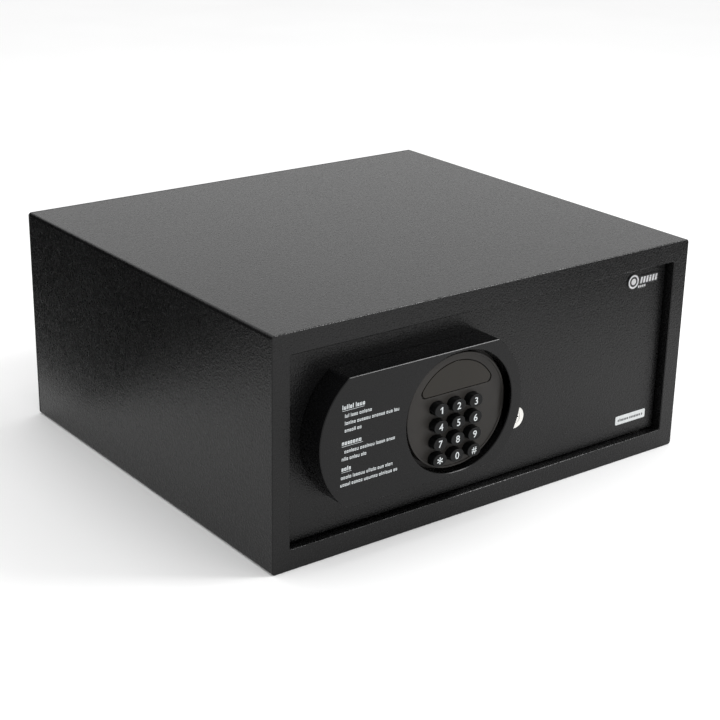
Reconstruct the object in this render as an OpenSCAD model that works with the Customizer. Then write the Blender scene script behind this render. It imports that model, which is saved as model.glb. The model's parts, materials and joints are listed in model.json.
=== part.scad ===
// Laptop-size in-room safe: a folded sheet-steel cabinet, a flush steel door on hidden pivots,
// a raised lock housing with a round keypad, and a motor-driven bolt lock behind the door.
// All sizes are in millimetres. +Z is up, the door faces -Y, and +X is on the right seen from
// the front. The origin is the centre of the cabinet's underside.

/* [Cabinet] */
// Width of the cabinet
body_w = 450; // [440:5:480]
// Depth of the cabinet, from the front flange to the rear panel
body_d = 400; // [360:5:440]
// Height of the cabinet
body_h = 200; // [196:2:220]
// Thickness of the cabinet sheet
sheet_t = 2; // [1.5:0.5:2.5]
// Radius of the cabinet's folded long edges
fold_r = 3; // [2.5:0.5:4]
// Width of the front flange at the left and right
flange_side = 17; // [16.5:0.5:19]
// Height of the front flange at the top and bottom
flange_end = 18.5; // [18:0.5:20]
// Radius of the anchor holes in the floor and the rear panel
anchor_r = 5; // [4:0.5:6]

/* [Door] */
// Thickness of the door plate
door_t = 5; // [4:0.5:6]
// How far the door sits behind the front flange
door_recess = 8; // [6:0.5:10]
// Gap between the door and the opening at the free edge, the top and the bottom
door_gap = 1.5; // [1:0.25:2]
// Gap between the door and the opening at the pivot edge
pivot_gap = 2.5; // [2.5:0.25:3]
// Depth of the lock cover behind the door plate
cover_d = 46; // [44:1:50]

/* [Lock housing] */
// Overall width of the lock housing
housing_w = 207; // [200:1:212]
// Height of the lock housing
housing_h = 110; // [108:1:114]
// How far the lock housing stands out from the door
housing_d = 26; // [24:0.5:30]
// Radius of the lock housing's curved ends
end_r = 68; // [64:1:72]
// Wall thickness of the moulded housing
wall_t = 2.5; // [2:0.25:3]
// Height of the keypad's opening, halved; the opening is a little wider than it is tall
pad_r = 52.3; // [51.3:0.1:52.4]
// How far the keypad's face sits behind the front of the housing
pad_recess = 5.5; // [3:0.5:6]

/* [Keys] */
// Height of an oval key cap, halved
key_r = 5.3; // [4.8:0.1:5.5]
// Distance between key centres across a row
key_pitch_x = 18.2; // [17:0.1:18.4]
// Distance between key rows
key_pitch_z = 14.7; // [14.2:0.1:14.9]
// How far a key cap stands out of the keypad
key_proud = 7; // [4:0.5:8]
// Travel of a key
key_travel = 1.5; // [0.5:0.25:1.5]

/* [Bolt work] */
// Radius of the locking bolts
bolt_r = 9; // [8:0.5:10]
// Distance from the door's middle height to each locking bolt
bolt_offset_z = 45; // [42:1:48]
// Throw of the locking bolts
bolt_throw = 15; // [10:1:15]
// Module of the rack and pinion
gear_m = 1.5; // [1.5]
// Number of pinion teeth
gear_teeth = 12; // [12]

/* [Hidden] */
$fn = 64;
eps = 0.01;

// Cabinet datums
front_y = -body_d / 2;
rear_y = body_d / 2;
open_w = body_w - 2 * flange_side;
open_h = body_h - 2 * flange_end;
mid_z = body_h / 2;
open_top = body_h - flange_end;
return_t = 2;
side_return_d = 16;
end_return_d = 20;
stop_t = 3;
stop_lap = 5;
mat_t = 3;
floor_anchor_x = 140;
floor_anchor_y = 110;
rear_anchor_x = 100;
rear_anchor_z = 120;

// Door datums
door_y0 = front_y + door_recess;
door_y1 = door_y0 + door_t;
door_x0 = -open_w / 2 + door_gap;
door_x1 = open_w / 2 - pivot_gap;
door_z0 = flange_end + door_gap;
door_z1 = open_top - door_gap;
pivot_x = door_x1 - 14;
pivot_y = door_y1 + 3;
pin_r = 2.5;
pin_clear = 0.05;
fit = 0.1;
bush_r = 4.5;
block_w = 12;
block_h = 18;
block_d = 7.5;

// Lock housing datums
housing_x = -90;
housing_z = mid_z + 5;
face_y = door_y0 - housing_d;
end_x = housing_w / 2 - end_r;
pad_x = housing_x + end_x + 1.2;
pad_flat = 3.2;
pad_z = housing_z;
bezel_y = face_y + pad_recess;
seat_y = face_y + 12;
seat_t = 3.5;
bezel_back_y = seat_y + seat_t;
drum_r = 49.4;
drum_flat = 2;
window_r = 43.4;
window_z = 16.8;
window_round = 4.5;
window_ledge = 2.5;
rim_w = 1.6;
rim_t = 0.8;
display_half = 25;
display_z0 = 18;
display_z1 = 36;
lens_t = 2;
lens_clear = 0.7;
boss_r = 3.8;
screw_r = 2;
boss_angle = 40;
boss_path_x = 38.5;
boss_path_r = 58.5;

// Keypad datums
key_names = ["key_1", "key_2", "key_3", "key_4", "key_5", "key_6",
             "key_7", "key_8", "key_9", "key_star", "key_0", "key_hash"];
key_row_1 = 6.8;
key_shift_x = -2.7;
key_clear = 0.3;
key_flat = 1.7;
key_flange_r = key_r + 1;
key_flange_t = 1;
key_stem_r = 2.5;
board_y = door_y0 - 5;
board_t = 1.6;
board_r = 49;
membrane_t = 1.2;
dome_r = 3;
dome_t = 0.5;

// Bolt work datums
bolt_y = front_y + 29;
bolt_len = 45;
bolt_tip_x = -open_w / 2 + 6.5;
bolt_back_x = bolt_tip_x + bolt_len;
neck_r = 5;
neck_len = 3;
bolt_nose = 1.5;
bolt_screw_r = 2.5;
bar_y = bolt_y + 12;
bar_t = 2.5;
bar_h = 30;
bar_z0 = mid_z - bar_h / 2;
bar_z1 = mid_z + bar_h / 2;
lug_t = 3;
stud_x = [-122, 4];
stud_r = 4;
slide_clear = 0.3;
guide_x = -189;
guide_t = 3;

// Rack and pinion datums
pitch_r = gear_m * gear_teeth / 2;
base_r = pitch_r * cos(20);
tip_r = pitch_r + gear_m;
root_r = pitch_r - 1.25 * gear_m;
rack_tip = 1;
rack_root = 2.1;
backlash = 0.3;
motor_x = -60;
rack_pitch_z = bar_z1 + rack_root;
motor_z = rack_pitch_z + pitch_r;
rack_teeth = 9;
pinion_w = 5;
shaft_r = 1.5;

// Badge datums
badge_x = 165;
badge_z = open_top - 12.8;
badge_r = 7;

// Override lock datums
lock_x = 29;
lock_z = 72;
lock_face_r = 10;
barrel_r = 8;
plug_r = 5.5;
lock_face_t = 3;
barrel_end_y = door_y1 + 20;
cam_t = 2;
cam_w = 10;
cam_len = 22;
tab_x = lock_x + cam_w / 2 + 0.7;

// Lock cover and battery datums
cover_x0 = -198;
cover_x1 = 182;
cover_z0 = 24;
cover_z1 = body_h - 24;
cover_t = 1.2;
cover_y1 = door_y1 + cover_d;
pillar_r = 4;
pillar_x = [-178, -6, 170];
pillar_z = [36, body_h - 36];
cell_r = 7.25;
cell_len = 50.5;
cell_pitch = 15;
tray_t = 1.5;
tray_x = 118;
tray_z = 66;
tray_d = 18;
tray_in_w = cell_len + 7;
tray_in_h = 4 * cell_pitch + 1;
hatch_clear = 0.4;
control_x = 118;
control_z = 137;
control_w = 92;
control_h = 50;
control_y = door_y1 + 16;
wire_r = 0.8;

// Names of the separate pieces

// ---- Shared shapes ----

// Extrudes an X-Z outline along Y, from y0 to y0 + len
module along_y(y0, len) {
    translate([0, y0 + len, 0]) rotate([90, 0, 0]) linear_extrude(len) children();
}

// A box given by its low and high corners
module block(low, high) {
    translate(low) cube(high - low);
}

// A round rod along X, Y or Z from its start point
module rod_x(p, r, len) {
    translate(p) rotate([0, 90, 0]) cylinder(r = r, h = len);
}

module rod_y(p, r, len) {
    translate(p) rotate([-90, 0, 0]) cylinder(r = r, h = len);
}

module rod_z(p, r, len) {
    translate(p) cylinder(r = r, h = len);
}

// A rectangle with true round corners, centred on the origin
module round_rect(w, h, r) {
    square([w - 2 * r, h], center = true);
    square([w, h - 2 * r], center = true);
    for (x = [-1, 1], z = [-1, 1])
        translate([x * (w / 2 - r), z * (h / 2 - r)]) circle(r = r);
}

// A circle cut in half and pulled apart sideways, so that it has short flats above and below
module oval(r, flat) {
    for (s = [-1, 1]) translate([s * flat, 0]) intersection() {
        circle(r = r, $fn = 128);
        translate([s * r, 0]) square(2 * r, center = true);
    }
    square([2 * flat, 2 * r], center = true);
}

// A pan-head screw whose shank runs from p towards -Y, with a crossed recess in its head
module pan_screw(p, shank_r, shank_len, head_r, head_h) {
    slot_w = head_r * 0.3;
    slot_l = head_r * 1.1;
    rod_y(p - [0, shank_len, 0], shank_r, shank_len);
    difference() {
        rod_y(p, head_r, head_h);
        translate(p + [0, head_h, 0]) cube([slot_l, head_h, slot_w], center = true);
        translate(p + [0, head_h, 0]) cube([slot_w, head_h, slot_l], center = true);
    }
}

// ---- Cabinet ----

module opening_outline(grow = 0) {
    translate([0, mid_z]) round_rect(open_w + 2 * grow, open_h + 2 * grow, 1.5 + grow);
}

// One sheet folded into a box, with the front flange turned in around the opening
module body_shell() {
    color("#2b2b2d") difference() {
        along_y(front_y, body_d - sheet_t)
            translate([0, mid_z]) round_rect(body_w, body_h, fold_r);
        along_y(front_y + sheet_t, body_d) translate([0, mid_z])
            round_rect(body_w - 2 * sheet_t, body_h - 2 * sheet_t, fold_r - sheet_t + 1);
        along_y(front_y - 1, sheet_t + 2) opening_outline();
        for (x = [-1, 1], y = [-1, 1])
            rod_z([x * floor_anchor_x, y * floor_anchor_y, -1], anchor_r, sheet_t + 2);
    }
}

module rear_panel() {
    color("#2b2b2d") difference() {
        along_y(rear_y - sheet_t, sheet_t)
            translate([0, mid_z]) round_rect(body_w, body_h, fold_r);
        for (x = [-1, 1])
            rod_y([x * rear_anchor_x, rear_y - sheet_t - 1, rear_anchor_z], anchor_r, sheet_t + 2);
    }
}

// The jamb that is welded behind the flange, with the lip that stops the door
module door_frame() {
    y0 = front_y + sheet_t;
    stop_y = door_y1 + 0.4;
    stop_x1 = pivot_x - 20;
    color("#252527") difference() {
        union() {
            along_y(y0, side_return_d) difference() {
                opening_outline(return_t);
                opening_outline();
            }
            for (side = [0, 1]) mirror_z(side)
                block([-open_w / 2, y0, flange_end - return_t],
                      [open_w / 2, y0 + end_return_d, flange_end]);
            block([-open_w / 2, stop_y, flange_end], [-open_w / 2 + stop_lap, stop_y + stop_t, open_top]);
            for (side = [0, 1]) mirror_z(side)
                block([-open_w / 2, stop_y, flange_end], [stop_x1, stop_y + stop_t, flange_end + 4]);
        }
        for (side = [0, 1]) mirror_z(side)
            rod_z([pivot_x, pivot_y, flange_end - return_t - 1], bush_r, return_t + 2);
    }
}

// Repeats a shape about the cabinet's middle height
module mirror_z(side) {
    if (side == 0) children();
    else translate([0, 0, body_h]) mirror([0, 0, 1]) children();
}

module hinge_brackets() {
    color("#3a3a3c") for (side = [0, 1]) mirror_z(side) difference() {
        block([pivot_x - 9.5, front_y + 6, flange_end - return_t - 12],
              [pivot_x + 9.5, front_y + 23, flange_end - return_t]);
        rod_z([pivot_x, pivot_y, 0], bush_r, flange_end);
    }
}

module hinge_bushes() {
    color("#b08d4a") for (side = [0, 1]) mirror_z(side) difference() {
        rod_z([pivot_x, pivot_y, flange_end - return_t - 12], bush_r, return_t + 12);
        rod_z([pivot_x, pivot_y, 0], pin_r + pin_clear, flange_end + 1);
    }
}

module floor_mat() {
    mat_w = body_w - 2 * sheet_t - 6;
    mat_y0 = front_y + 28;
    mat_y1 = rear_y - sheet_t - 3;
    color("#4a4a4c") difference() {
        block([-mat_w / 2, mat_y0, sheet_t], [mat_w / 2, mat_y1, sheet_t + mat_t]);
        for (x = [-1, 1], y = [-1, 1])
            rod_z([x * floor_anchor_x, y * floor_anchor_y, 0], 2 * anchor_r + 1, 10);
    }
}

// ---- Door ----

module door_plate() {
    w = door_x1 - door_x0;
    h = door_z1 - door_z0;
    color("#2b2b2d") difference() {
        along_y(door_y0, door_t)
            translate([(door_x0 + door_x1) / 2, mid_z]) round_rect(w, h, 1.5);
        housing_screw_places() rod_y([0, door_y0 - 1, 0], screw_r + 0.2, door_t + 2);
        rod_y([-112, door_y0 - 1, 112], 8, door_t + 2);
        rod_y([lock_x, door_y0 - 1, lock_z], barrel_r, door_t + 2);
    }
}

module hinge_blocks() {
    color("#3a3a3c") for (side = [0, 1]) mirror_z(side) difference() {
        block([pivot_x - block_w / 2, door_y1, door_z0],
              [pivot_x + block_w / 2, door_y1 + block_d, door_z0 + block_h]);
        rod_z([pivot_x, pivot_y, 0], pin_r, body_h);
    }
}

module hinge_pin() {
    z0 = flange_end - 10;
    rod_z([pivot_x, pivot_y, z0], pin_r, door_z0 + block_h - z0);
}

module upper_hinge_pin() {
    color("#c8c8c8") mirror_z(1) hinge_pin();
}

module lower_hinge_pin() {
    color("#c8c8c8") mirror_z(0) hinge_pin();
}

// Carries the door's weight on the lower bush
module thrust_washer() {
    z0 = flange_end + 0.1;
    color("#d8d8d0") difference() {
        rod_z([pivot_x, pivot_y, z0], 5.5, door_z0 - z0);
        rod_z([pivot_x, pivot_y, z0 - 1], pin_r, 5);
    }
}

// ---- Lock housing and keypad ----

// Flat top and bottom, with arcs at both ends
module housing_outline(inset = 0) {
    translate([housing_x, housing_z]) {
        intersection() {
            union() {
                for (s = [-1, 1]) translate([s * end_x, 0]) circle(r = end_r - inset, $fn = 128);
                square([2 * end_x, housing_h - 2 * inset], center = true);
            }
            square([housing_w, housing_h - 2 * inset], center = true);
        }
    }
}

// Children are placed at the four screw bosses of the housing
module housing_screw_places() {
    for (s = [-1, 1], a = [-boss_angle, boss_angle])
        translate([housing_x + s * (boss_path_x + boss_path_r * cos(a)), 0,
                   housing_z + boss_path_r * sin(a)]) children();
}

module lock_housing() {
    color("#1b1b1d") difference() {
        union() {
            difference() {
                along_y(face_y, housing_d) housing_outline();
                along_y(face_y + wall_t, housing_d) housing_outline(wall_t);
            }
            along_y(face_y, seat_y + seat_t / 2 + 0.5 - face_y) intersection() {
                translate([pad_x, pad_z]) oval(pad_r + wall_t, pad_flat);
                housing_outline(eps);
            }
            housing_screw_places() rod_y([0, face_y + wall_t, 0], boss_r, housing_d - wall_t);
        }
        along_y(face_y - 1, housing_d) translate([pad_x, pad_z]) oval(pad_r, pad_flat);
        housing_screw_places() rod_y([0, face_y + 10, 0], screw_r + fit, housing_d);
    }
}

module housing_screws() {
    color("#9a9a9a") housing_screw_places() pan_screw([0, door_y1, 0], screw_r, 14, 4, 2.5);
}

// The display window: an arc about the keypad's centre, cut flat below, with round corners
module window_outline(r, z0, corner) {
    cz = z0 + corner;
    cx = sqrt(pow(r - corner, 2) - pow(cz, 2));
    near = z0 / cz;
    far = 4;
    intersection() {
        circle(r = r, $fn = 128);
        polygon([[-cx * near, z0], [-cx * far, cz * far], [cx * far, cz * far], [cx * near, z0]]);
    }
    translate([-cx, z0]) square([2 * cx, corner]);
    for (s = [-1, 1]) translate([s * cx, cz]) circle(r = corner);
}

// Children are placed at a key's centre
module key_place(col, row) {
    translate([pad_x + key_shift_x + (col - 1) * key_pitch_x, 0,
               pad_z + key_row_1 - row * key_pitch_z]) children();
}

// A drum that fills the housing's opening but for a moat around it, with a flange behind. The
// keys come through it, and the display sits in a pocket behind its window
module keypad_bezel() {
    clip = housing_h / 2 - wall_t - key_clear;
    drum_t = bezel_back_y - bezel_y;
    flange_y = seat_y + seat_t / 2 + 0.5 + eps;
    color("#26221f") difference() {
        intersection() {
            union() {
                along_y(bezel_y, drum_t) translate([pad_x, pad_z]) oval(drum_r, drum_flat);
                bezel_rim();
                along_y(seat_y, seat_t) translate([pad_x, pad_z]) oval(pad_r - 0.2, pad_flat);
                along_y(flange_y, bezel_back_y - flange_y)
                    translate([pad_x, pad_z]) oval(pad_r + wall_t - 0.3, pad_flat);
            }
            block([pad_x - 60, bezel_y - rim_t, pad_z - clip], [pad_x + 60, bezel_back_y, pad_z + clip]);
        }
        for (col = [0 : 2], row = [0 : 3])
            key_place(col, row) along_y(bezel_y - rim_t - 1, drum_t + 4) oval(key_r + key_clear, key_flat);
        housing_screw_places() rod_y([0, bezel_y - 1, 0], boss_r + 0.4, drum_t + 2);
        along_y(bezel_y - 1, lens_t + 1)
            translate([pad_x, pad_z]) window_outline(window_r, window_z, window_round);
        along_y(bezel_y - 1, drum_t + 2) translate([pad_x, pad_z])
            window_outline(window_r - window_ledge, window_z + window_ledge, window_round);
        block([pad_x - display_half - 0.5, bezel_y + 3, pad_z + display_z0 - 0.5],
              [pad_x + display_half + 0.5, bezel_back_y + 1, pad_z + display_z1 + 0.5]);
    }
}

// The raised ring around the edge of the drum's face
module bezel_rim() {
    along_y(bezel_y - rim_t, rim_t + 1) translate([pad_x, pad_z]) difference() {
        oval(drum_r, drum_flat);
        oval(drum_r - rim_w, drum_flat);
    }
}

module display_lens() {
    color("#0c0c0e") along_y(bezel_y, lens_t) translate([pad_x, pad_z])
        window_outline(window_r - lens_clear, window_z + lens_clear, window_round);
}

// Four-digit display, soldered to the keypad board
module display_module() {
    color("#3a1010") block([pad_x - display_half, bezel_y + lens_t + 1.2, pad_z + display_z0],
                           [pad_x + display_half, board_y, pad_z + display_z1]);
}

module keypad_board() {
    color("#1e5a34") difference() {
        rod_y([pad_x, board_y, pad_z], board_r, board_t);
        for (s = [-1, 1]) rod_y([pad_x + s * 44, board_y - 1, pad_z + 8], 1.5, board_t + 2);
    }
}

// Rubber sheet with one dome behind each key
module key_membrane() {
    color("#c9c9c4") {
        intersection() {
            rod_y([pad_x, board_y - membrane_t, pad_z], board_r - 1, membrane_t);
            block([pad_x - 50, board_y - 5, pad_z - 50], [pad_x + 50, board_y, pad_z + 12]);
        }
        for (col = [0 : 2], row = [0 : 3])
            key_place(col, row) rod_y([0, board_y - membrane_t - dome_t, 0], dome_r, dome_t);
    }
}

// An oval cap, a flange that keeps it behind the bezel, and a stem over its dome
module key_cap(col, row) {
    top = bezel_y - key_proud;
    flange = bezel_back_y + key_clear;
    stem_end = board_y - membrane_t - dome_t - key_travel - key_clear;
    color("#4b4b4d") key_place(col, row) {
        along_y(top, flange - top + eps) oval(key_r, key_flat);
        along_y(flange, key_flange_t) oval(key_flange_r, key_flat);
        rod_y([0, flange, 0], key_stem_r, stem_end - flange);
    }
}

// Flat ribbon from the keypad board, through the door plate, to the control board
module keypad_cable() {
    hole_x = -112;
    ribbon_t = 1;
    z0 = 108;
    z1 = 116;
    y0 = board_y + board_t;
    y1 = door_y1 + 3;
    x1 = control_x - control_w / 2 + 1.8;
    color("#b9b9b4") {
        block([hole_x - ribbon_t, y0, z0], [pad_x - 40, y0 + ribbon_t, z1]);
        block([hole_x - ribbon_t, y0, z0], [hole_x, y1 + ribbon_t, z1]);
        block([hole_x - ribbon_t, y1, z0], [x1, y1 + ribbon_t, z1]);
        block([x1 - ribbon_t, y1, z0], [x1, control_y, z1]);
    }
}

// A round emblem with a bar to its right and a short bar below
module badge_plate() {
    color("#3c3c40") along_y(door_y0 - 0.8, 0.8) translate([badge_x, badge_z]) {
        circle(r = badge_r);
        translate([15.5, 0]) round_rect(31, 8.4, 1.5);
        translate([10.5, -5]) round_rect(12, 6, 1.2);
    }
}

module serial_label() {
    color("#ecebe6") along_y(door_y0 - 0.3, 0.3)
        translate([175.5, flange_end + 18]) round_rect(38, 8.5, 1.5);
}

// ---- Override lock ----

module lock_barrel() {
    color("#c9c7c0") difference() {
        union() {
            rod_y([lock_x, door_y0 - lock_face_t, lock_z], lock_face_r, lock_face_t);
            rod_y([lock_x, door_y0 - 1, lock_z], barrel_r, barrel_end_y - door_y0 + 1);
        }
        rod_y([lock_x, door_y0 - 10, lock_z], plug_r + pin_clear, 60);
    }
}

module lock_nut() {
    color("#c9c7c0") difference() {
        rod_y([lock_x, door_y1, lock_z], 11.5, 4, $fn = 6);
        rod_y([lock_x, door_y1 - 1, lock_z], barrel_r, 6);
    }
}

// Turns in the barrel; the key slot faces the front and the cam sits on the square at the rear
module lock_plug() {
    front = door_y0 - lock_face_t + 0.3;
    rear = barrel_end_y + 0.3;
    color("#d8d6cf") difference() {
        union() {
            rod_y([lock_x, front, lock_z], plug_r, rear - front);
            block([lock_x - 3, rear - eps, lock_z - 3], [lock_x + 3, rear + cam_t, lock_z + 3]);
        }
        block([lock_x - 4, front - 1, lock_z - 0.8], [lock_x + 4, front + 14, lock_z + 0.8]);
        rod_y([lock_x, rear - 8, lock_z], 1.25, 20);
    }
}

// At rest the cam points to the left; a quarter turn swings it up against the carriage tab
module lock_cam() {
    y0 = barrel_end_y + 0.3;
    color("#b5b5b0") difference() {
        along_y(y0, cam_t) translate([lock_x, lock_z]) {
            circle(r = cam_w / 2 + 2);
            translate([-cam_len, -cam_w / 2]) square([cam_len, cam_w]);
        }
        block([lock_x - 3, y0 - 1, lock_z - 3], [lock_x + 3, y0 + cam_t + 1, lock_z + 3]);
    }
}

module cam_screw() {
    color("#9a9a9a") pan_screw([lock_x, barrel_end_y + 0.3 + cam_t, lock_z], 1.25, 9, 4, 2.2);
}

// ---- Bolt work ----

// Bracket on the door plate that carries the two bolt bushes
module bolt_guide() {
    z0 = mid_z - bolt_offset_z - 15;
    z1 = mid_z + bolt_offset_z + 15;
    y1 = bolt_y + 15;
    color("#77777a") difference() {
        union() {
            block([guide_x, door_y1, z0], [guide_x + guide_t, y1, z1]);
            block([guide_x, door_y1, z0], [guide_x + 9, door_y1 + guide_t, z1]);
        }
        bolt_places() rod_x([guide_x - 1, 0, 0], bolt_r + 2, guide_t + 2);
    }
}

// Children are placed on the axes of the two bolts
module bolt_places() {
    for (s = [-1, 1]) translate([0, bolt_y, mid_z + s * bolt_offset_z]) children();
}

module bolt_bushes() {
    color("#e4e2da") bolt_places() difference() {
        union() {
            rod_x([guide_x - 5, 0, 0], bolt_r + 2, 5 + guide_t + 3);
            rod_x([guide_x - 2, 0, 0], bolt_r + 3.5, 2);
        }
        rod_x([guide_x - 10, 0, 0], bolt_r + 0.08, 30);
    }
}

module locking_bolt(s) {
    color("#d0d0d2") translate([bolt_tip_x, bolt_y, mid_z + s * bolt_offset_z])
        rotate([0, 90, 0]) difference() {
            rotate_extrude() polygon([
                [0, 0], [bolt_r - bolt_nose, 0], [bolt_r, bolt_nose], [bolt_r, bolt_len],
                [neck_r, bolt_len], [neck_r, bolt_len + neck_len], [0, bolt_len + neck_len]]);
            translate([0, 0, bolt_len - 10]) cylinder(r = bolt_screw_r + fit, h = 20);
        }
}

module upper_bolt() {
    locking_bolt(1);
}

module lower_bolt() {
    locking_bolt(-1);
}

module bolt_screws() {
    color("#9a9a9a") bolt_places() translate([bolt_back_x + neck_len, 0, 0])
        rotate([0, 0, -90]) pan_screw([0, 0, 0], bolt_screw_r, 10, 7, 3);
}

// Carries both bolts. A rack on its upper edge meets the pinion, two slots run on the guide
// studs, and the tab at its right end is what the override cam pushes
module bolt_carriage() {
    lug_z = bolt_offset_z + 11;
    slot_w = 2 * (stud_r + slide_clear);
    color("#8a8a8e") difference() {
        union() {
            block([bolt_back_x, bar_y, bar_z0], [tab_x + bar_t, bar_y + bar_t, bar_z1]);
            block([bolt_back_x, bar_y, mid_z - lug_z],
                  [bolt_back_x + 26, bar_y + bar_t, mid_z + lug_z]);
            block([bolt_back_x, bolt_y - 10, mid_z - lug_z],
                  [bolt_back_x + lug_t, bar_y + bar_t, mid_z + lug_z]);
            block([tab_x, barrel_end_y + 0.3, bar_z0 - 6], [tab_x + bar_t, bar_y + bar_t, bar_z0 + 10]);
            rack();
        }
        bolt_places() rod_x([bolt_back_x - 1, 0, 0], neck_r + fit, lug_t + 2);
        for (x = stud_x) translate([x, bar_y - 1, mid_z]) rotate([-90, 0, 0]) {
            cylinder(r = slot_w / 2, h = bar_t + 2);
            translate([bolt_throw, 0, 0]) cylinder(r = slot_w / 2, h = bar_t + 2);
            translate([0, -slot_w / 2, 0]) cube([bolt_throw, slot_w, bar_t + 2]);
        }
    }
}

// Straight-sided rack teeth, thinned on both sides for backlash
module rack() {
    pitch = PI * gear_m;
    slope = tan(20);
    half = pitch / 4 - backlash / 2;
    top = half - rack_tip * slope;
    foot = half + rack_root * slope;
    start = motor_x - pitch * 3;
    along_y(bar_y, bar_t) for (i = [0 : rack_teeth - 1])
        translate([start + (i + 0.5) * pitch, rack_pitch_z])
            polygon([[-foot, -rack_root - 0.5], [foot, -rack_root - 0.5], [foot, -rack_root],
                     [top, rack_tip], [-top, rack_tip], [-foot, -rack_root]]);
}

// Half of a pinion tooth's angle at radius r, on an involute flank thinned for backlash
function inv(a) = tan(a) * 180 / PI - a;
function half_angle(r) =
    90 / gear_teeth - backlash / 2 / pitch_r * 180 / PI
    + inv(20) - (r > base_r ? inv(acos(base_r / r)) : 0);
function flank_point(r, side, tooth) =
    let (a = 270 + tooth * 360 / gear_teeth + side * half_angle(r)) r * [cos(a), sin(a)];
flank_r = [root_r, base_r, pitch_r - 0.2, pitch_r + 0.5, tip_r];
last = len(flank_r) - 1;

module drive_pinion() {
    outline = [for (tooth = [0 : gear_teeth - 1], i = [0 : 2 * last + 1])
        i <= last ? flank_point(flank_r[i], -1, tooth) : flank_point(flank_r[2 * last + 1 - i], 1, tooth)];
    color("#d9b45a") along_y(bar_y + bar_t / 2 - pinion_w / 2, pinion_w)
        translate([motor_x, motor_z]) difference() {
            polygon(outline);
            circle(r = shaft_r);
        }
}

module output_shaft() {
    color("#d0d0d2") rod_y([motor_x, bar_y - 9, motor_z], shaft_r, 14);
}

module gear_motor() {
    gear_y = bar_y - 5.5;
    color("#a9a9ad") difference() {
        union() {
            rod_y([motor_x, door_y1 + 1, motor_z], 9, gear_y - 11 - door_y1 - 1);
            block([motor_x - 12, gear_y - 11, motor_z - 9], [motor_x + 12, gear_y, motor_z + 9]);
        }
        rod_y([motor_x, gear_y - 6, motor_z], shaft_r + pin_clear, 10);
    }
}

module motor_bracket() {
    gear_y = bar_y - 5.5;
    plate_t = 1.5;
    reach = 17;
    color("#77777a") difference() {
        union() {
            block([motor_x - reach, gear_y, motor_z - 7], [motor_x + reach, gear_y + plate_t, motor_z + 12]);
            for (s = [-1, 1]) {
                x = motor_x + s * (reach - plate_t / 2);
                block([x - plate_t / 2, door_y1, motor_z - 7],
                      [x + plate_t / 2, gear_y + plate_t, motor_z + 12]);
                block([x - plate_t / 2 + min(0, s * 8), door_y1, motor_z - 7],
                      [x + plate_t / 2 + max(0, s * 8), door_y1 + plate_t, motor_z + 12]);
            }
        }
        rod_y([motor_x, gear_y - 1, motor_z], 4, plate_t + 2);
    }
}

// Headed studs on which the carriage slides
module guide_studs() {
    color("#9a9a9a") for (x = stud_x) {
        rod_y([x, door_y1, mid_z], stud_r + 2, bar_y - door_y1 - 0.5);
        rod_y([x, door_y1, mid_z], stud_r, bar_y + bar_t + 1 - door_y1);
        rod_y([x, bar_y + bar_t + 0.5, mid_z], stud_r + 3.5, 2);
    }
}

// A wire along a chain of straight runs, each parallel to an axis
module wire(points) {
    for (i = [0 : len(points) - 2]) {
        a = points[i];
        b = points[i + 1];
        block([for (k = [0 : 2]) min(a[k], b[k]) - wire_r], [for (k = [0 : 2]) max(a[k], b[k]) + wire_r]);
    }
}

module motor_leads() {
    y = door_y1 + 3;
    color("#8c2a22") for (s = [0, 3]) {
        x0 = motor_x - 1.5 + s;
        x1 = control_x - control_w / 2 + 10 + s;
        z1 = 152 - s;
        wire([[x0, y, motor_z + 9.9], [x0, y, z1], [x1, y, z1], [x1, control_y - wire_r, z1]]);
    }
}

// ---- Electronics ----

module control_board() {
    color("#1e5a34") {
        block([control_x - control_w / 2, control_y, control_z - control_h / 2],
              [control_x + control_w / 2, control_y + board_t, control_z + control_h / 2]);
        for (x = [-1, 1], z = [-1, 1])
            rod_y([control_x + x * (control_w / 2 - 5), door_y1, control_z + z * (control_h / 2 - 5)],
                  2.5, control_y - door_y1);
        block([control_x - 12, control_y + board_t, control_z - 8],
              [control_x + 4, control_y + board_t + 2.5, control_z + 8]);
        rod_y([control_x + 26, control_y + board_t, control_z + 6], 6, 8);
        for (i = [0 : 2])
            rod_y([control_x - 36 + i * 9, control_y + board_t, control_z - 12], 3, 9);
    }
}

// Open-backed box for four cells that lie across the door, side by side
module battery_tray() {
    w = tray_in_w + 2 * tray_t;
    h = tray_in_h + 2 * tray_t;
    y0 = cover_y1 - cover_t - tray_d;
    color("#202022") difference() {
        block([tray_x - w / 2, y0, tray_z - h / 2], [tray_x + w / 2, cover_y1 - cover_t, tray_z + h / 2]);
        block([tray_x - tray_in_w / 2, y0 + tray_t, tray_z - tray_in_h / 2],
              [tray_x + tray_in_w / 2, cover_y1, tray_z + tray_in_h / 2]);
    }
}

module cell_places() {
    y = cover_y1 - cover_t - tray_d + tray_t + cell_r;
    for (i = [0 : 3]) translate([tray_x, y, tray_z + (i - 1.5) * cell_pitch]) children();
}

module battery_cells() {
    nub_r = 2.6;
    nub_len = 1;
    color("#3a7a4c") cell_places() {
        rod_x([-cell_len / 2, 0, 0], cell_r, cell_len - nub_len);
        rod_x([cell_len / 2 - nub_len - eps, 0, 0], nub_r, nub_len + eps);
    }
}

// A flat contact at the right of each cell and a coil-spring contact, drawn as a cup, at the left
module battery_contacts() {
    contact_t = 0.5;
    color("#c9c7c0") cell_places() {
        block([tray_in_w / 2 - contact_t, -5, -6], [tray_in_w / 2, 5, 6]);
        block([cell_len / 2, -2, -2], [tray_in_w / 2 - contact_t + eps, 2, 2]);
        block([-tray_in_w / 2, -5, -6], [-tray_in_w / 2 + contact_t, 5, 6]);
        rod_x([-tray_in_w / 2 + contact_t - eps, 0, 0], 3,
              (tray_in_w - cell_len) / 2 - contact_t + eps);
    }
}

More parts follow.
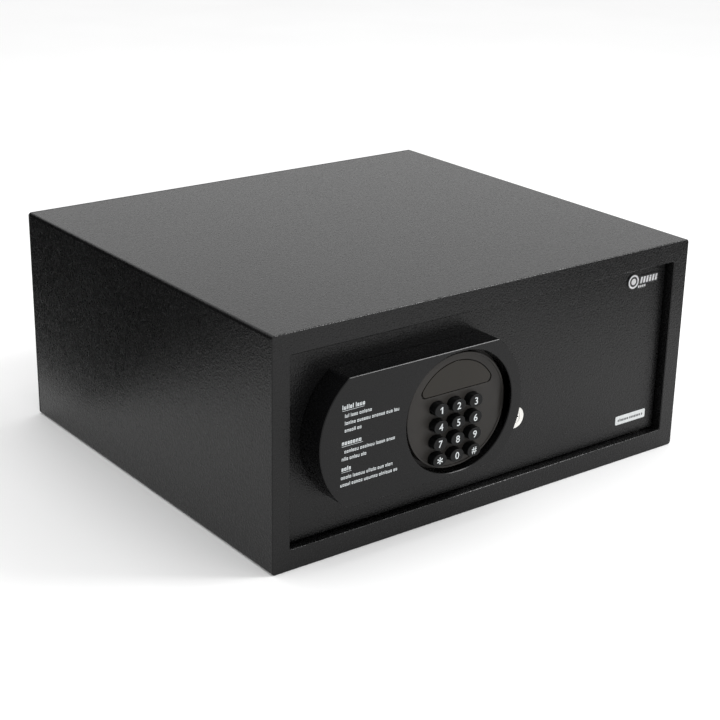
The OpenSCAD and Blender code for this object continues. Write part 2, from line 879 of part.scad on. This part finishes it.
module battery_leads() {
    y0 = cover_y1 - cover_t - tray_d + 4;
    y1 = control_y + board_t + wire_r;
    z0 = tray_z + tray_in_h / 2 + tray_t + wire_r;
    z1 = z0 + 4;
    color("#222222") for (s = [0, 4]) {
        x = tray_x - 20 + s;
        wire([[x, y0, z0], [x, y0, z1], [x, y1, z1], [x, y1, control_z - 20]]);
    }
}

// ---- Lock cover ----

module pillar_places() {
    for (x = pillar_x, z = pillar_z) translate([x, 0, z]) children();
}

module inner_cover() {
    w = cover_x1 - cover_x0;
    h = cover_z1 - cover_z0;
    x = (cover_x0 + cover_x1) / 2;
    color("#2f2f31") difference() {
        along_y(door_y1, cover_d) translate([x, mid_z]) round_rect(w, h, 3);
        along_y(door_y1 - 1, cover_d - cover_t + 1)
            translate([x, mid_z]) round_rect(w - 2 * cover_t, h - 2 * cover_t, 3 - cover_t);
        along_y(cover_y1 - 5, 10) translate([tray_x, tray_z]) round_rect(tray_in_w, tray_in_h, 2);
        bolt_places() rod_x([cover_x0 - 1, 0, 0], bolt_r + 1, 5);
        pillar_places() rod_y([0, cover_y1 - 5, 0], screw_r + 0.2, 10);
    }
}

module cover_pillars() {
    color("#b5b5b0") pillar_places() difference() {
        rod_y([0, door_y1, 0], pillar_r, cover_d - cover_t);
        rod_y([0, door_y1 + 20, 0], screw_r, cover_d);
    }
}

module cover_screws() {
    color("#9a9a9a") pillar_places() pan_screw([0, cover_y1, 0], screw_r, 10, 4, 2.5);
}

// Plugs the hatch in the lock cover; it pulls straight off to change the cells
module battery_cover() {
    lip = 3;
    plug = hatch_clear + 0.1;
    color("#202022") difference() {
        union() {
            along_y(cover_y1 + 0.3, 2) translate([tray_x, tray_z])
                round_rect(tray_in_w + 2 * lip, tray_in_h + 2 * lip, 4);
            along_y(cover_y1 - 1, 1.3 + eps) translate([tray_x, tray_z])
                round_rect(tray_in_w - 2 * plug, tray_in_h - 2 * plug, 1.5);
        }
        for (i = [0 : 3])
            block([tray_x - 10, cover_y1 + 1.6, tray_z + 15 + i * 3],
                  [tray_x + 10, cover_y1 + 5, tray_z + 16.5 + i * 3]);
    }
}

// ---- Nodes ----

body_shell();
rear_panel();
door_frame();
hinge_brackets();
hinge_bushes();
floor_mat();
door_plate();
hinge_blocks();
upper_hinge_pin();
lower_hinge_pin();
thrust_washer();
lock_housing();
housing_screws();
keypad_bezel();
display_lens();
display_module();
key_membrane();
keypad_board();
keypad_cable();
lock_barrel();
lock_nut();
bolt_guide();
bolt_bushes();
guide_studs();
motor_bracket();
gear_motor();
motor_leads();
control_board();
battery_tray();
battery_contacts();
battery_cells();
battery_leads();
inner_cover();
cover_pillars();
cover_screws();
badge_plate();
serial_label();
bolt_carriage();
upper_bolt();
lower_bolt();
bolt_screws();
drive_pinion();
output_shaft();
lock_plug();
lock_cam();
cam_screw();
battery_cover();
for (i = [0 : 11])
    key_cap(i % 3, floor(i / 3));
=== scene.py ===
"""Looks of the in-room safe: materials, softened edges, key legends, printed marks and studio.

Lengths are in metres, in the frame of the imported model: +Z up, the door faces -Y, and the
origin is the centre of the cabinet's underside.
"""

import json
import math
import random

import bmesh
import bpy
from mathutils import Matrix, Vector


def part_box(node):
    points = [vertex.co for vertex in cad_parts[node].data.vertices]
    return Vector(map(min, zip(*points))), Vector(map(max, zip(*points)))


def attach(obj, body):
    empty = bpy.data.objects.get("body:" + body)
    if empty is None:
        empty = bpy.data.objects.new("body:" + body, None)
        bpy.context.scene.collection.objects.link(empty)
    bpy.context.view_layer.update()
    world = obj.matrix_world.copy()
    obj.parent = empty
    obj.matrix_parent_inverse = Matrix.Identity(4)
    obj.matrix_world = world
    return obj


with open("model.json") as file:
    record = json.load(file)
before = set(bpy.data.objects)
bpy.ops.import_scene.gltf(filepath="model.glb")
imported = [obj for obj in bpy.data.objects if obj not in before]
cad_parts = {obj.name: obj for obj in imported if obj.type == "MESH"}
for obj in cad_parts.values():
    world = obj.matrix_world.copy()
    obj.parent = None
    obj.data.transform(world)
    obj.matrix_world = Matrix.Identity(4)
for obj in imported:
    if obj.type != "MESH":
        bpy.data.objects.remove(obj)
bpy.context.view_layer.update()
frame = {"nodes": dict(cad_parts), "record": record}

MM = 0.001
NODES = frame["nodes"]
KEY_LEGENDS = {
    "key_1": "1", "key_2": "2", "key_3": "3", "key_4": "4", "key_5": "5", "key_6": "6",
    "key_7": "7", "key_8": "8", "key_9": "9", "key_star": "*", "key_0": "0", "key_hash": "#",
}


# ---- Material nodes ----

class Shader:
    """A Principled material and short ways to add the procedural nodes that it needs."""

    def __init__(self, name, roughness=0.5, metallic=0.0, **sockets):
        self.material = bpy.data.materials.new(name)
        self.material.use_nodes = True
        self.tree = self.material.node_tree
        self.bsdf = self.tree.nodes["Principled BSDF"]
        self.bsdf.inputs["Roughness"].default_value = roughness
        self.bsdf.inputs["Metallic"].default_value = metallic
        for key, value in sockets.items():
            socket = key.replace("_", " ").title().replace("Ior", "IOR")
            self.bsdf.inputs[socket].default_value = value
        self.coords = self.add("ShaderNodeTexCoord").outputs["Object"]

    def add(self, kind, **settings):
        node = self.tree.nodes.new(kind)
        for key, value in settings.items():
            setattr(node, key, value)
        return node

    def join(self, output, socket):
        self.tree.links.new(output, socket)

    def stretched(self, scale):
        """The object's coordinates, scaled by a number for each axis."""
        node = self.add("ShaderNodeMapping")
        node.inputs["Scale"].default_value = scale
        self.join(self.coords, node.inputs["Vector"])
        return node.outputs["Vector"]

    def noise(self, scale, detail=3.0, roughness=0.55, vector=None, distortion=0.0):
        node = self.add("ShaderNodeTexNoise")
        node.inputs["Scale"].default_value = scale
        node.inputs["Detail"].default_value = detail
        node.inputs["Roughness"].default_value = roughness
        node.inputs["Distortion"].default_value = distortion
        self.join(vector or self.coords, node.inputs["Vector"])
        return node.outputs["Fac"]

    def cells(self, scale, vector):
        node = self.add("ShaderNodeTexVoronoi", feature="SMOOTH_F1")
        node.inputs["Scale"].default_value = scale
        self.join(vector, node.inputs["Vector"])
        return node.outputs["Distance"]

    def wandering(self, amount, scale):
        """The object's coordinates, pushed about by noise, so that cells look less regular."""
        noise = self.add("ShaderNodeTexNoise")
        noise.inputs["Scale"].default_value = scale
        self.join(self.coords, noise.inputs["Vector"])
        push = self.add("ShaderNodeVectorMath", operation="MULTIPLY_ADD")
        push.inputs[1].default_value = (amount, amount, amount)
        self.join(noise.outputs["Color"], push.inputs[0])
        self.join(self.coords, push.inputs[2])
        return push.outputs["Vector"]

    def spread(self, factor, low, high, start=0.3, end=0.7):
        """Maps a noise's middle range onto a range of values."""
        node = self.add("ShaderNodeMapRange")
        limits = {"From Min": start, "From Max": end, "To Min": low, "To Max": high}
        for socket, value in limits.items():
            node.inputs[socket].default_value = value
        self.join(factor, node.inputs["Value"])
        return node.outputs["Result"]

    def ramp(self, factor, stops):
        node = self.add("ShaderNodeValToRGB")
        elements = node.color_ramp.elements
        while len(elements) < len(stops):
            elements.new(0.5)
        for element, (place, color) in zip(elements, stops):
            element.position = place
            element.color = (*color, 1.0)
        self.join(factor, node.inputs["Fac"])
        return node.outputs["Color"]

    def color(self, factor, dark, light):
        """Base colour that varies between two tones."""
        self.join(self.ramp(factor, [(0.3, dark), (0.7, light)]), self.bsdf.inputs["Base Color"])
        return self

    def rough(self, factor, low, high):
        self.join(self.spread(factor, low, high), self.bsdf.inputs["Roughness"])
        return self

    def bump(self, height, strength, distance, under=None):
        node = self.add("ShaderNodeBump")
        node.inputs["Strength"].default_value = strength
        node.inputs["Distance"].default_value = distance
        self.join(height, node.inputs["Height"])
        if under is not None:
            self.join(under, node.inputs["Normal"])
        self.join(node.outputs["Normal"], self.bsdf.inputs["Normal"])
        return node.outputs["Normal"]


def powder_coat():
    """Black wrinkle powder coat: millimetre-wide soft wrinkles under a finer orange peel."""
    s = Shader("powder_coat", ior=1.335)
    wrinkles = s.cells(860, s.wandering(1.4 * MM, 480))
    peel = s.noise(2600, 2)
    s.color(s.noise(9, 4), (0.0026, 0.0026, 0.0027), (0.0042, 0.0042, 0.0044))
    s.rough(s.noise(380, 3), 0.24, 0.30)
    s.bump(peel, 0.12, 0.0001, under=s.bump(wrinkles, 0.9, 0.00025))
    return s.material


def satin_paint():
    s = Shader("satin_paint")
    s.color(s.noise(30), (0.028, 0.028, 0.03), (0.04, 0.04, 0.043))
    s.rough(s.noise(120), 0.35, 0.5)
    s.bump(s.noise(1500), 0.2, 0.0001)
    return s.material


def plated_steel():
    """Zinc plate with a faint passivation tint and rolling lines."""
    s = Shader("plated_steel", metallic=1.0)
    s.color(s.noise(18, 5), (0.50, 0.50, 0.49), (0.66, 0.65, 0.60))
    lines = s.noise(900, 2, vector=s.stretched((0.08, 1.0, 1.0)))
    s.rough(lines, 0.27, 0.42)
    s.bump(lines, 0.10, 0.00004)
    return s.material


def bright_steel():
    """Ground bar with fine turning marks around its axis."""
    s = Shader("bright_steel", metallic=1.0)
    s.color(s.noise(25), (0.66, 0.66, 0.67), (0.80, 0.80, 0.81))
    marks = s.noise(2400, 1, vector=s.stretched((1.0, 0.05, 0.05)))
    s.rough(marks, 0.12, 0.22)
    s.bump(marks, 0.08, 0.00003)
    return s.material


def brass():
    s = Shader("brass", metallic=1.0)
    s.color(s.noise(60, 4), (0.60, 0.42, 0.17), (0.76, 0.56, 0.27))
    s.rough(s.noise(300), 0.22, 0.38)
    s.bump(s.noise(2000, 2), 0.08, 0.00004)
    return s.material


def felt():
    """Needle felt: a matted fibre pile."""
    s = Shader("felt", roughness=0.95, sheen_weight=0.35, sheen_roughness=0.5)
    fibres = s.noise(1900, 5, 0.7, distortion=1.2)
    s.color(fibres, (0.030, 0.031, 0.034), (0.085, 0.086, 0.090))
    s.bump(s.noise(260, 4), 0.5, 0.0006, under=s.bump(fibres, 0.9, 0.0008))
    return s.material


def housing_plastic():
    """Black moulded plastic with a fine spark-eroded satin texture."""
    s = Shader("housing_plastic", ior=1.30)
    s.color(s.noise(14, 3), (0.0022, 0.0022, 0.0024), (0.0034, 0.0034, 0.0036))
    s.rough(s.noise(240, 3), 0.24, 0.29)
    s.bump(s.noise(2400, 2), 0.03, 0.00004)
    return s.material


def bezel_plastic():
    """Warm black moulded disc, satin, with a little flow variation from the mould."""
    s = Shader("bezel_plastic", ior=1.25)
    s.color(s.noise(22, 3, distortion=0.6), (0.025, 0.0235, 0.0220), (0.032, 0.0295, 0.0270))
    s.rough(s.noise(160, 3), 0.34, 0.42)
    s.bump(s.noise(3200, 3), 0.14, 0.00006)
    return s.material


def smoked_lens():
    s = Shader("smoked_lens", ior=1.30)
    s.color(s.noise(16), (0.015, 0.0128, 0.0095), (0.019, 0.0162, 0.0122))
    s.rough(s.noise(120, 4), 0.14, 0.20)
    s.bump(s.noise(420, 2), 0.03, 0.00003)
    return s.material


def key_plastic():
    s = Shader("key_plastic", ior=1.26)
    s.color(s.noise(240, 3), (0.0016, 0.0018, 0.0020), (0.0028, 0.0030, 0.0032))
    s.rough(s.noise(300, 3), 0.30, 0.38)
    s.bump(s.noise(4200, 3), 0.22, 0.00007)
    return s.material


def print_ink():
    """White pad-printed ink, slightly uneven."""
    s = Shader("print_ink")
    s.color(s.noise(900, 3), (0.52, 0.55, 0.56), (0.66, 0.69, 0.70))
    s.rough(s.noise(900), 0.45, 0.6)
    s.bump(s.noise(5000, 2), 0.15, 0.00003)
    return s.material


def dark_ink():
    s = Shader("dark_ink")
    s.color(s.noise(900, 3), (0.03, 0.03, 0.035), (0.08, 0.08, 0.085))
    s.rough(s.noise(900), 0.5, 0.65)
    return s.material


def nylon():
    s = Shader("nylon", subsurface_weight=0.1)
    s.color(s.noise(80), (0.66, 0.65, 0.60), (0.76, 0.75, 0.70))
    s.rough(s.noise(300), 0.4, 0.5)
    s.bump(s.noise(2500), 0.1, 0.00005)
    return s.material


def silicone():
    s = Shader("silicone")
    s.color(s.noise(50), (0.40, 0.40, 0.38), (0.50, 0.50, 0.47))
    s.rough(s.noise(400), 0.6, 0.75)
    s.bump(s.noise(3000), 0.15, 0.00005)
    return s.material


def circuit_board():
    """Green solder mask over a grid of traces."""
    s = Shader("circuit_board")
    traces = s.add("ShaderNodeTexBrick")
    traces.inputs["Scale"].default_value = 90
    traces.inputs["Mortar Size"].default_value = 0.012
    traces.inputs["Color1"].default_value = (0.012, 0.10, 0.035, 1)
    traces.inputs["Color2"].default_value = (0.018, 0.13, 0.045, 1)
    traces.inputs["Mortar"].default_value = (0.06, 0.30, 0.11, 1)
    turned = s.add("ShaderNodeMapping")
    turned.inputs["Rotation"].default_value = (math.pi / 2, 0, 0)
    s.join(s.coords, turned.inputs["Vector"])
    s.join(turned.outputs["Vector"], traces.inputs["Vector"])
    s.join(traces.outputs["Color"], s.bsdf.inputs["Base Color"])
    s.rough(s.noise(200), 0.25, 0.38)
    s.bump(traces.outputs["Fac"], 0.2, 0.00005)
    return s.material


def soft_plastic(name, dark, light):
    """Cable jackets, sleeves and other small flexible plastics."""
    s = Shader(name)
    s.color(s.noise(160, 3), dark, light)
    s.rough(s.noise(300), 0.4, 0.55)
    s.bump(s.noise(2400), 0.12, 0.00005)
    return s.material


def satin_nickel():
    """Face-turned nickel: fine rings around the lock's axis."""
    s = Shader("satin_nickel", metallic=1.0)
    low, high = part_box("lock_barrel")
    middle = (low + high) / 2
    centred = s.add("ShaderNodeMapping")
    centred.inputs["Location"].default_value = (-middle.x, 0, -middle.z)
    s.join(s.coords, centred.inputs["Vector"])
    rings = s.add("ShaderNodeTexWave", wave_type="RINGS", rings_direction="Y")
    rings.inputs["Scale"].default_value = 1400
    rings.inputs["Distortion"].default_value = 1.5
    rings.inputs["Detail"].default_value = 2
    s.join(centred.outputs["Vector"], rings.inputs["Vector"])
    s.color(s.noise(60, 4), (0.72, 0.71, 0.68), (0.84, 0.83, 0.80))
    s.rough(rings.outputs["Fac"], 0.26, 0.36)
    s.bump(rings.outputs["Fac"], 0.08, 0.00003)
    return s.material


def badge_metal():
    """Black anodised plate."""
    s = Shader("badge_metal")
    s.color(s.noise(90, 3), (0.006, 0.006, 0.0065), (0.009, 0.009, 0.0095))
    s.rough(s.noise(500, 3), 0.28, 0.36)
    s.bump(s.noise(3000, 2), 0.1, 0.00004)
    return s.material


def bright_marks():
    """Raised marks of brushed bare metal."""
    s = Shader("bright_marks", metallic=1.0)
    brushing = s.noise(2600, 2, vector=s.stretched((0.03, 1.0, 1.0)))
    s.color(brushing, (0.80, 0.80, 0.82), (0.93, 0.93, 0.94))
    s.rough(brushing, 0.26, 0.40)
    s.bump(brushing, 0.12, 0.00003)
    return s.material


def cell_wrap():
    """Plain green sleeve with a copper band at the positive end of each cell."""
    s = Shader("cell_wrap")
    low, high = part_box("battery_cells")
    split = s.add("ShaderNodeSeparateXYZ")
    s.join(s.coords, split.inputs["Vector"])
    band = s.spread(split.outputs["X"], 0.0, 1.0, high.x - 14.2 * MM, high.x - 14.0 * MM)
    s.join(s.ramp(band, [(0.45, (0.02, 0.11, 0.045)), (0.55, (0.42, 0.20, 0.09))]),
           s.bsdf.inputs["Base Color"])
    s.rough(s.noise(150), 0.24, 0.34)
    s.bump(s.noise(900), 0.05, 0.00004)
    return s.material


def floor_paper():
    s = Shader("floor_paper")
    s.color(s.noise(3, 2), (0.88, 0.88, 0.88), (0.90, 0.90, 0.90))
    s.rough(s.noise(5, 2), 0.8, 0.9)
    return s.material


MATERIALS = {
    "powder_coat": powder_coat(),
    "dark_steel": satin_paint(),
    "plated_steel": plated_steel(),
    "bright_steel": bright_steel(),
    "brass": brass(),
    "felt": felt(),
    "housing_plastic": housing_plastic(),
    "bezel_plastic": bezel_plastic(),
    "smoked_lens": smoked_lens(),
    "display_plastic": soft_plastic("display_filter", (0.10, 0.012, 0.012), (0.16, 0.02, 0.02)),
    "key_plastic": key_plastic(),
    "nylon": nylon(),
    "silicone": silicone(),
    "circuit_board": circuit_board(),
    "lead_plastic": soft_plastic("lead_jacket", (0.30, 0.30, 0.29), (0.42, 0.42, 0.40)),
    "motor_steel": plated_steel(),
    "lock_nickel": satin_nickel(),
    "cell_wrap": cell_wrap(),
    "contact_nickel": plated_steel(),
    "badge_metal": badge_metal(),
    "label_film": soft_plastic("label_film", (0.56, 0.58, 0.58), (0.62, 0.64, 0.64)),
}


# ---- CAD nodes: materials and softened edges ----

# Edge radius of each node in millimetres, where it isn't the default
EDGE_RADIUS = {
    "body_shell": 0.8, "rear_panel": 0.4, "door_plate": 0.3, "door_frame": 0.1,
    "lock_housing": 0.7, "keypad_bezel": 0.25, "display_lens": 0.3, "inner_cover": 0.2,
    "hinge_blocks": 0.1, "gear_motor": 0.1, "battery_cover": 0.3, "lock_barrel": 0.5,
    "lock_plug": 0.2, "badge_plate": 0.25, "serial_label": 0.05,
    "upper_bolt": 0.4, "lower_bolt": 0.4, "floor_mat": 0.6,
}
EDGE_RADIUS.update({node: 0.45 for node in KEY_LEGENDS})
DEFAULT_EDGE = 0.2
# Bevel segments and profile of a round edge, and of the flat chamfer that these nodes have
ROUNDED = (3, 0.5)
CHAMFER = (4, 0.25)
CHAMFERED = ("body_shell", "lock_housing")
WELD_GAP = 0.002 * MM
FLAT_WITHIN = math.radians(0.5)
SHARP_OVER = math.radians(40)


def soften(piece, radius, style):
    """Rounds or chamfers the sharp edges, after joining split vertices and flat triangles."""
    weld = piece.modifiers.new("weld", "WELD")
    weld.merge_threshold = WELD_GAP
    flat = piece.modifiers.new("flat_faces", "DECIMATE")
    flat.decimate_type = "DISSOLVE"
    flat.angle_limit = FLAT_WITHIN
    bevel = piece.modifiers.new("edges", "BEVEL")
    bevel.limit_method = "ANGLE"
    bevel.angle_limit = SHARP_OVER
    bevel.width = radius * MM
    bevel.segments, bevel.profile = style
    bevel.face_strength_mode = "FSTR_ALL"
    bevel.use_clamp_overlap = False
    bevel.miter_outer = "MITER_ARC"
    normals = piece.modifiers.new("normals", "WEIGHTED_NORMAL")
    normals.use_face_influence = True


def dress_cad_nodes():
    for entry in frame["record"]["subparts"]:
        node = entry["node"]
        piece = NODES[node]
        piece.data.materials.clear()
        piece.data.materials.append(MATERIALS[entry["material_slot"]])
        if piece.data.has_custom_normals:
            bpy.context.view_layer.objects.active = piece
            bpy.ops.mesh.customdata_custom_splitnormals_clear()
        faces = piece.data.polygons
        faces.foreach_set("use_smooth", [True] * len(faces))
        style = CHAMFER if node in CHAMFERED else ROUNDED
        soften(piece, EDGE_RADIUS.get(node, DEFAULT_EDGE), style)


# ---- Pieces that Blender adds ----

def mesh_piece(name, mesh, body, material):
    piece = bpy.data.objects.new(name, mesh)
    bpy.context.scene.collection.objects.link(piece)
    piece.data.materials.clear()
    piece.data.materials.append(material)
    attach(piece, body)
    return piece


def facing_front(x, y, z):
    """Places an upright X-Y drawing at a point, facing the front."""
    return Matrix.Translation((x, y, z)) @ Matrix.Rotation(math.pi / 2, 4, "X")


# How far a print stands out of its face
PRINT_THICKNESS = 0.03 * MM
# Font size of a legend, and by how much of that size its strokes are widened
DIGIT_STYLE = (8.7 * MM, 0.008)
LEGEND_STYLE = {"*": (13.5 * MM, 0.01), "#": (8.6 * MM, 0.004)}
# Height of the drawn figure one, as a part of the font size
ONE_HEIGHT = 0.68


def symbol_mesh(text, height, thickness, boldness):
    """A symbol as a closed mesh, centred on the origin; boldness widens its strokes."""
    curve = bpy.data.curves.new("symbol", "FONT")
    curve.body = text
    curve.size = height
    curve.extrude = thickness
    curve.offset = height * boldness
    holder = bpy.data.objects.new("symbol", curve)
    bpy.context.scene.collection.objects.link(holder)
    bpy.context.view_layer.update()
    graph = bpy.context.evaluated_depsgraph_get()
    mesh = bpy.data.meshes.new_from_object(holder.evaluated_get(graph))
    bpy.data.objects.remove(holder)
    bpy.data.curves.remove(curve)
    xs = [v.co.x for v in mesh.vertices]
    ys = [v.co.y for v in mesh.vertices]
    mesh.transform(Matrix.Translation((-(min(xs) + max(xs)) / 2, -(min(ys) + max(ys)) / 2, 0)))
    return mesh


def one_mesh(height, thickness):
    """A bold figure one with a slanted flag, as a closed mesh centred on the origin."""
    stem = height * 0.20
    flag = height * 0.24
    outline = [(0, 0), (stem, 0), (stem, height), (0.25 * stem, height), (-flag, 0.76 * height),
               (-flag, 0.60 * height), (0, 0.76 * height)]
    bm = bmesh.new()
    levels = [[bm.verts.new((x, y - height / 2, z)) for x, y in outline]
              for z in (-thickness, thickness)]
    bm.faces.new(levels[1])
    bm.faces.new(list(reversed(levels[0])))
    for i in range(len(outline)):
        j = (i + 1) % len(outline)
        bm.faces.new((levels[0][i], levels[0][j], levels[1][j], levels[1][i]))
    return mesh_from(bm, "one")


def key_legends():
    ink = print_ink()
    for node, text in KEY_LEGENDS.items():
        low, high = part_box(node)
        middle = (low + high) / 2
        size, boldness = LEGEND_STYLE.get(text, DIGIT_STYLE)
        if text == "1":
            mesh = one_mesh(ONE_HEIGHT * size, PRINT_THICKNESS)
        else:
            mesh = symbol_mesh(text, size, PRINT_THICKNESS, boldness)
        mesh.name = node + "_legend"
        mesh.transform(facing_front(middle.x, low.y, middle.z))
        mesh_piece(node + "_legend", mesh, node + "_button", ink)


def add_bar(bm, x, z, width, height, y, lean=0.0, thickness=PRINT_THICKNESS):
    """A thin printed bar on a face that looks to the front; lean slants its top to the right."""
    corners = [(x, z), (x + width, z), (x + width + lean, z + height), (x + lean, z + height)]
    back = [bm.verts.new((cx, y, cz)) for cx, cz in corners]
    front = [bm.verts.new((cx, y - thickness, cz)) for cx, cz in corners]
    bm.faces.new(front)
    bm.faces.new(list(reversed(back)))
    for i in range(4):
        j = (i + 1) % 4
        bm.faces.new((back[i], back[j], front[j], front[i]))


def add_marks(bm, x, z, length, height, y, rng, weight=0.16):
    """A run of meaningless print: groups of small strokes and frames that stand for words."""
    stroke = height * weight
    body = height * 0.72
    letter_gap = height * 0.2
    word_gap = height * 0.35
    end = x + length
    last_start = end - height * 0.5
    while x < last_start:
        for _ in range(rng.randint(3, 7)):
            shape = rng.choice(("frame", "frame", "arch", "cup", "stem"))
            width = stroke if shape == "stem" else height * rng.choice((0.50, 0.58))
            if x + width > end:
                break
            if shape == "stem":
                add_bar(bm, x, z, stroke, height, y)
            else:
                for side in (x, x + width - stroke):
                    add_bar(bm, side, z, stroke, body, y)
            if shape in ("frame", "arch"):
                add_bar(bm, x + stroke, z + body - stroke, width - 2 * stroke, stroke, y)
            if shape in ("frame", "cup"):
                add_bar(bm, x + stroke, z, width - 2 * stroke, stroke, y)
            x += width + letter_gap
        x += word_gap


def mesh_from(bm, name):
    mesh = bpy.data.meshes.new(name)
    bmesh.ops.recalc_face_normals(bm, faces=bm.faces)
    bm.to_mesh(mesh)
    bm.free()
    return mesh


def housing_print():
    """Three blocks of meaningless white print, each under an underlined heading."""
    low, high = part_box("lock_housing")
    left = low.x + 21 * MM
    top = high.z - 25 * MM
    pitch = 6.1 * MM
    text = 3.0 * MM
    heading = 3.7 * MM
    rule_drop = 1.3 * MM
    rule_height = 0.3 * MM
    # Depth of each block below the first, width of its heading, then indent and width of its lines
    blocks = [
        (0.0, 22, [(2.5, 27), (2.5, 55), (2.5, 18)]),
        (29.8, 21, [(2.5, 50), (0, 24)]),
        (51.7, 10, [(-0.5, 52), (-1, 57)]),
    ]
    rng = random.Random(11)
    bm = bmesh.new()
    for drop, width, lines in blocks:
        z = top - drop * MM
        add_marks(bm, left, z, width * MM, heading, low.y, rng, weight=0.2)
        add_bar(bm, left, z - rule_drop, width * MM * 0.96, rule_height, low.y)
        for row, (indent, length) in enumerate(lines):
            line_z = z - (row + 1.15) * pitch
            add_marks(bm, left + indent * MM, line_z, length * MM, text, low.y, rng)
    print_mesh = mesh_from(bm, "housing_print")
    mesh_piece("housing_print", print_mesh, "door", print_ink())


def label_print():
    low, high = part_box("serial_label")
    rng = random.Random(5)
    bm = bmesh.new()
    margin = 3 * MM
    length = 32 * MM
    height = 2.8 * MM
    z = (low.z + high.z) / 2 - 1.3 * MM
    add_marks(bm, low.x + margin, z, length, height, low.y, rng, weight=0.26)
    mesh_piece("label_print", mesh_from(bm, "label_print"), "door", dark_ink())


def add_ring(bm, x, z, outer, inner, y, thickness, segments=40):
    """A raised flat ring on a face that looks to the front, or a disc if the inner radius is 0."""
    def circle(radius, depth):
        turns = [2 * math.pi * i / segments for i in range(segments)]
        return [bm.verts.new((x + radius * math.cos(a), y - depth, z + radius * math.sin(a)))
                for a in turns]
    out_back, out_front = circle(outer, 0), circle(outer, thickness)
    if inner == 0:
        bm.faces.new(out_front)
        bm.faces.new(list(reversed(out_back)))
        rims = [(out_back, out_front)]
    else:
        in_back, in_front = circle(inner, 0), circle(inner, thickness)
        rims = [(out_back, out_front), (in_front, in_back),
                (out_front, in_front), (in_back, out_back)]
    for first, second in rims:
        for i in range(segments):
            j = (i + 1) % segments
            bm.faces.new((first[i], first[j], second[j], second[i]))


def badge_emblem():
    """Plain raised marks on the badge: a ring around a dot, slanted strokes and a short line."""
    low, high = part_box("badge_plate")
    height = 0.18 * MM
    ring_outer, ring_inner, dot_radius = 6.3 * MM, 4.7 * MM, 2.9 * MM
    x = low.x + 7 * MM
    z = high.z - 7 * MM
    bm = bmesh.new()
    add_ring(bm, x, z, ring_outer, ring_inner, low.y, height)
    add_ring(bm, x, z, dot_radius, 0, low.y, height)
    for i in range(6):
        add_bar(bm, x + (8.2 + 3.7 * i) * MM, z - 2.9 * MM, 2.3 * MM, 5.8 * MM, low.y,
                lean=0.9 * MM, thickness=height)
    for i in range(4):
        add_bar(bm, x + (6.2 + 2.5 * i) * MM, z - 6.6 * MM, 1.6 * MM, 2.0 * MM, low.y,
                thickness=height)
    mesh_piece("badge_emblem", mesh_from(bm, "badge_emblem"), "door", bright_marks())


# ---- Studio ----

def studio_floor():
    half_size = 7.0
    bm = bmesh.new()
    bmesh.ops.create_grid(bm, x_segments=1, y_segments=1, size=half_size)
    floor = bpy.data.objects.new("floor", mesh_from(bm, "floor"))
    bpy.context.scene.collection.objects.link(floor)
    floor.data.materials.append(floor_paper())


def dark_card(name, width, depth, placement):
    """A black studio card that only reflections see: it darkens the glossy sides only."""
    bm = bmesh.new()
    bmesh.ops.create_grid(bm, x_segments=1, y_segments=1, size=0.5)
    card = bpy.data.objects.new(name, mesh_from(bm, name))
    bpy.context.scene.collection.objects.link(card)
    card.matrix_world = placement @ Matrix.Diagonal((width, depth, 1, 1))
    black = Shader("card_black", roughness=1.0)
    black.color(black.noise(4), (0.0, 0.0, 0.0), (0.002, 0.002, 0.002))
    card.data.materials.append(black.material)
    card.visible_camera = False
    card.visible_diffuse = False
    card.visible_shadow = False


def dark_cards():
    """Two cards lie just above the floor, and one stands behind the cabinet."""
    above_floor = 0.004
    dark_card("card_at_left", 2.2, 2.0, Matrix.Translation((-1.37, 1.18, above_floor)))
    dark_card("card_at_right", 1.8, 1.4, Matrix.Translation((1.31, -1.20, above_floor)))
    upright = Matrix.Rotation(math.radians(37), 4, "Z") @ Matrix.Rotation(math.pi / 2, 4, "X")
    dark_card("card_upright", 2.6, 1.6, Matrix.Translation((-1.25, 1.75, 0.8)) @ upright)


def area_light(name, place, target, width, height, power):
    data = bpy.data.lights.new(name, "AREA")
    data.shape = "RECTANGLE"
    data.size = width
    data.size_y = height
    data.energy = power
    light = bpy.data.objects.new(name, data)
    bpy.context.scene.collection.objects.link(light)
    light.location = place
    light.rotation_euler = (Vector(target) - Vector(place)).to_track_quat("-Z", "Y").to_euler()
    return light


def studio_lights():
    centre = (0, 0, 0.1)
    area_light("overhead", (0.0, 0.1, 2.0), centre, width=1.2, height=1.2, power=8)
    area_light("key", (1.02, -0.87, 1.42), centre, width=0.45, height=0.4, power=17)
    world = bpy.data.worlds.new("studio")
    bpy.context.scene.world = world
    world.use_nodes = True
    background = world.node_tree.nodes["Background"]
    background.inputs["Color"].default_value = (1.0, 1.0, 1.0, 1.0)
    background.inputs["Strength"].default_value = 1.0


def studio_camera():
    """Looks down on the front from the left."""
    azimuth = math.radians(-37.33)
    elevation = math.radians(21.03)
    roll = math.radians(1.08)
    distance = 1.402
    target = Vector((-0.0638, -0.0963, 0.1138))
    back = Vector((math.sin(azimuth) * math.cos(elevation),
                   -math.cos(azimuth) * math.cos(elevation),
                   math.sin(elevation)))
    level = Vector((math.cos(azimuth), math.sin(azimuth), 0))
    right = (level * math.cos(roll) + back.cross(level) * math.sin(roll)).normalized()
    up = back.cross(right)
    data = bpy.data.cameras.new("camera")
    data.lens = 81.5
    data.sensor_width = 36
    data.clip_start = 0.01
    camera = bpy.data.objects.new("camera", data)
    bpy.context.scene.collection.objects.link(camera)
    axes = Matrix((right, up, back)).transposed().to_4x4()
    camera.matrix_world = Matrix.Translation(target + back * distance) @ axes
    bpy.context.scene.camera = camera


studio_camera()
dress_cad_nodes()
key_legends()
housing_print()
label_print()
badge_emblem()
studio_floor()
dark_cards()
studio_lights()
bpy.context.scene.view_settings.view_transform = "Standard"
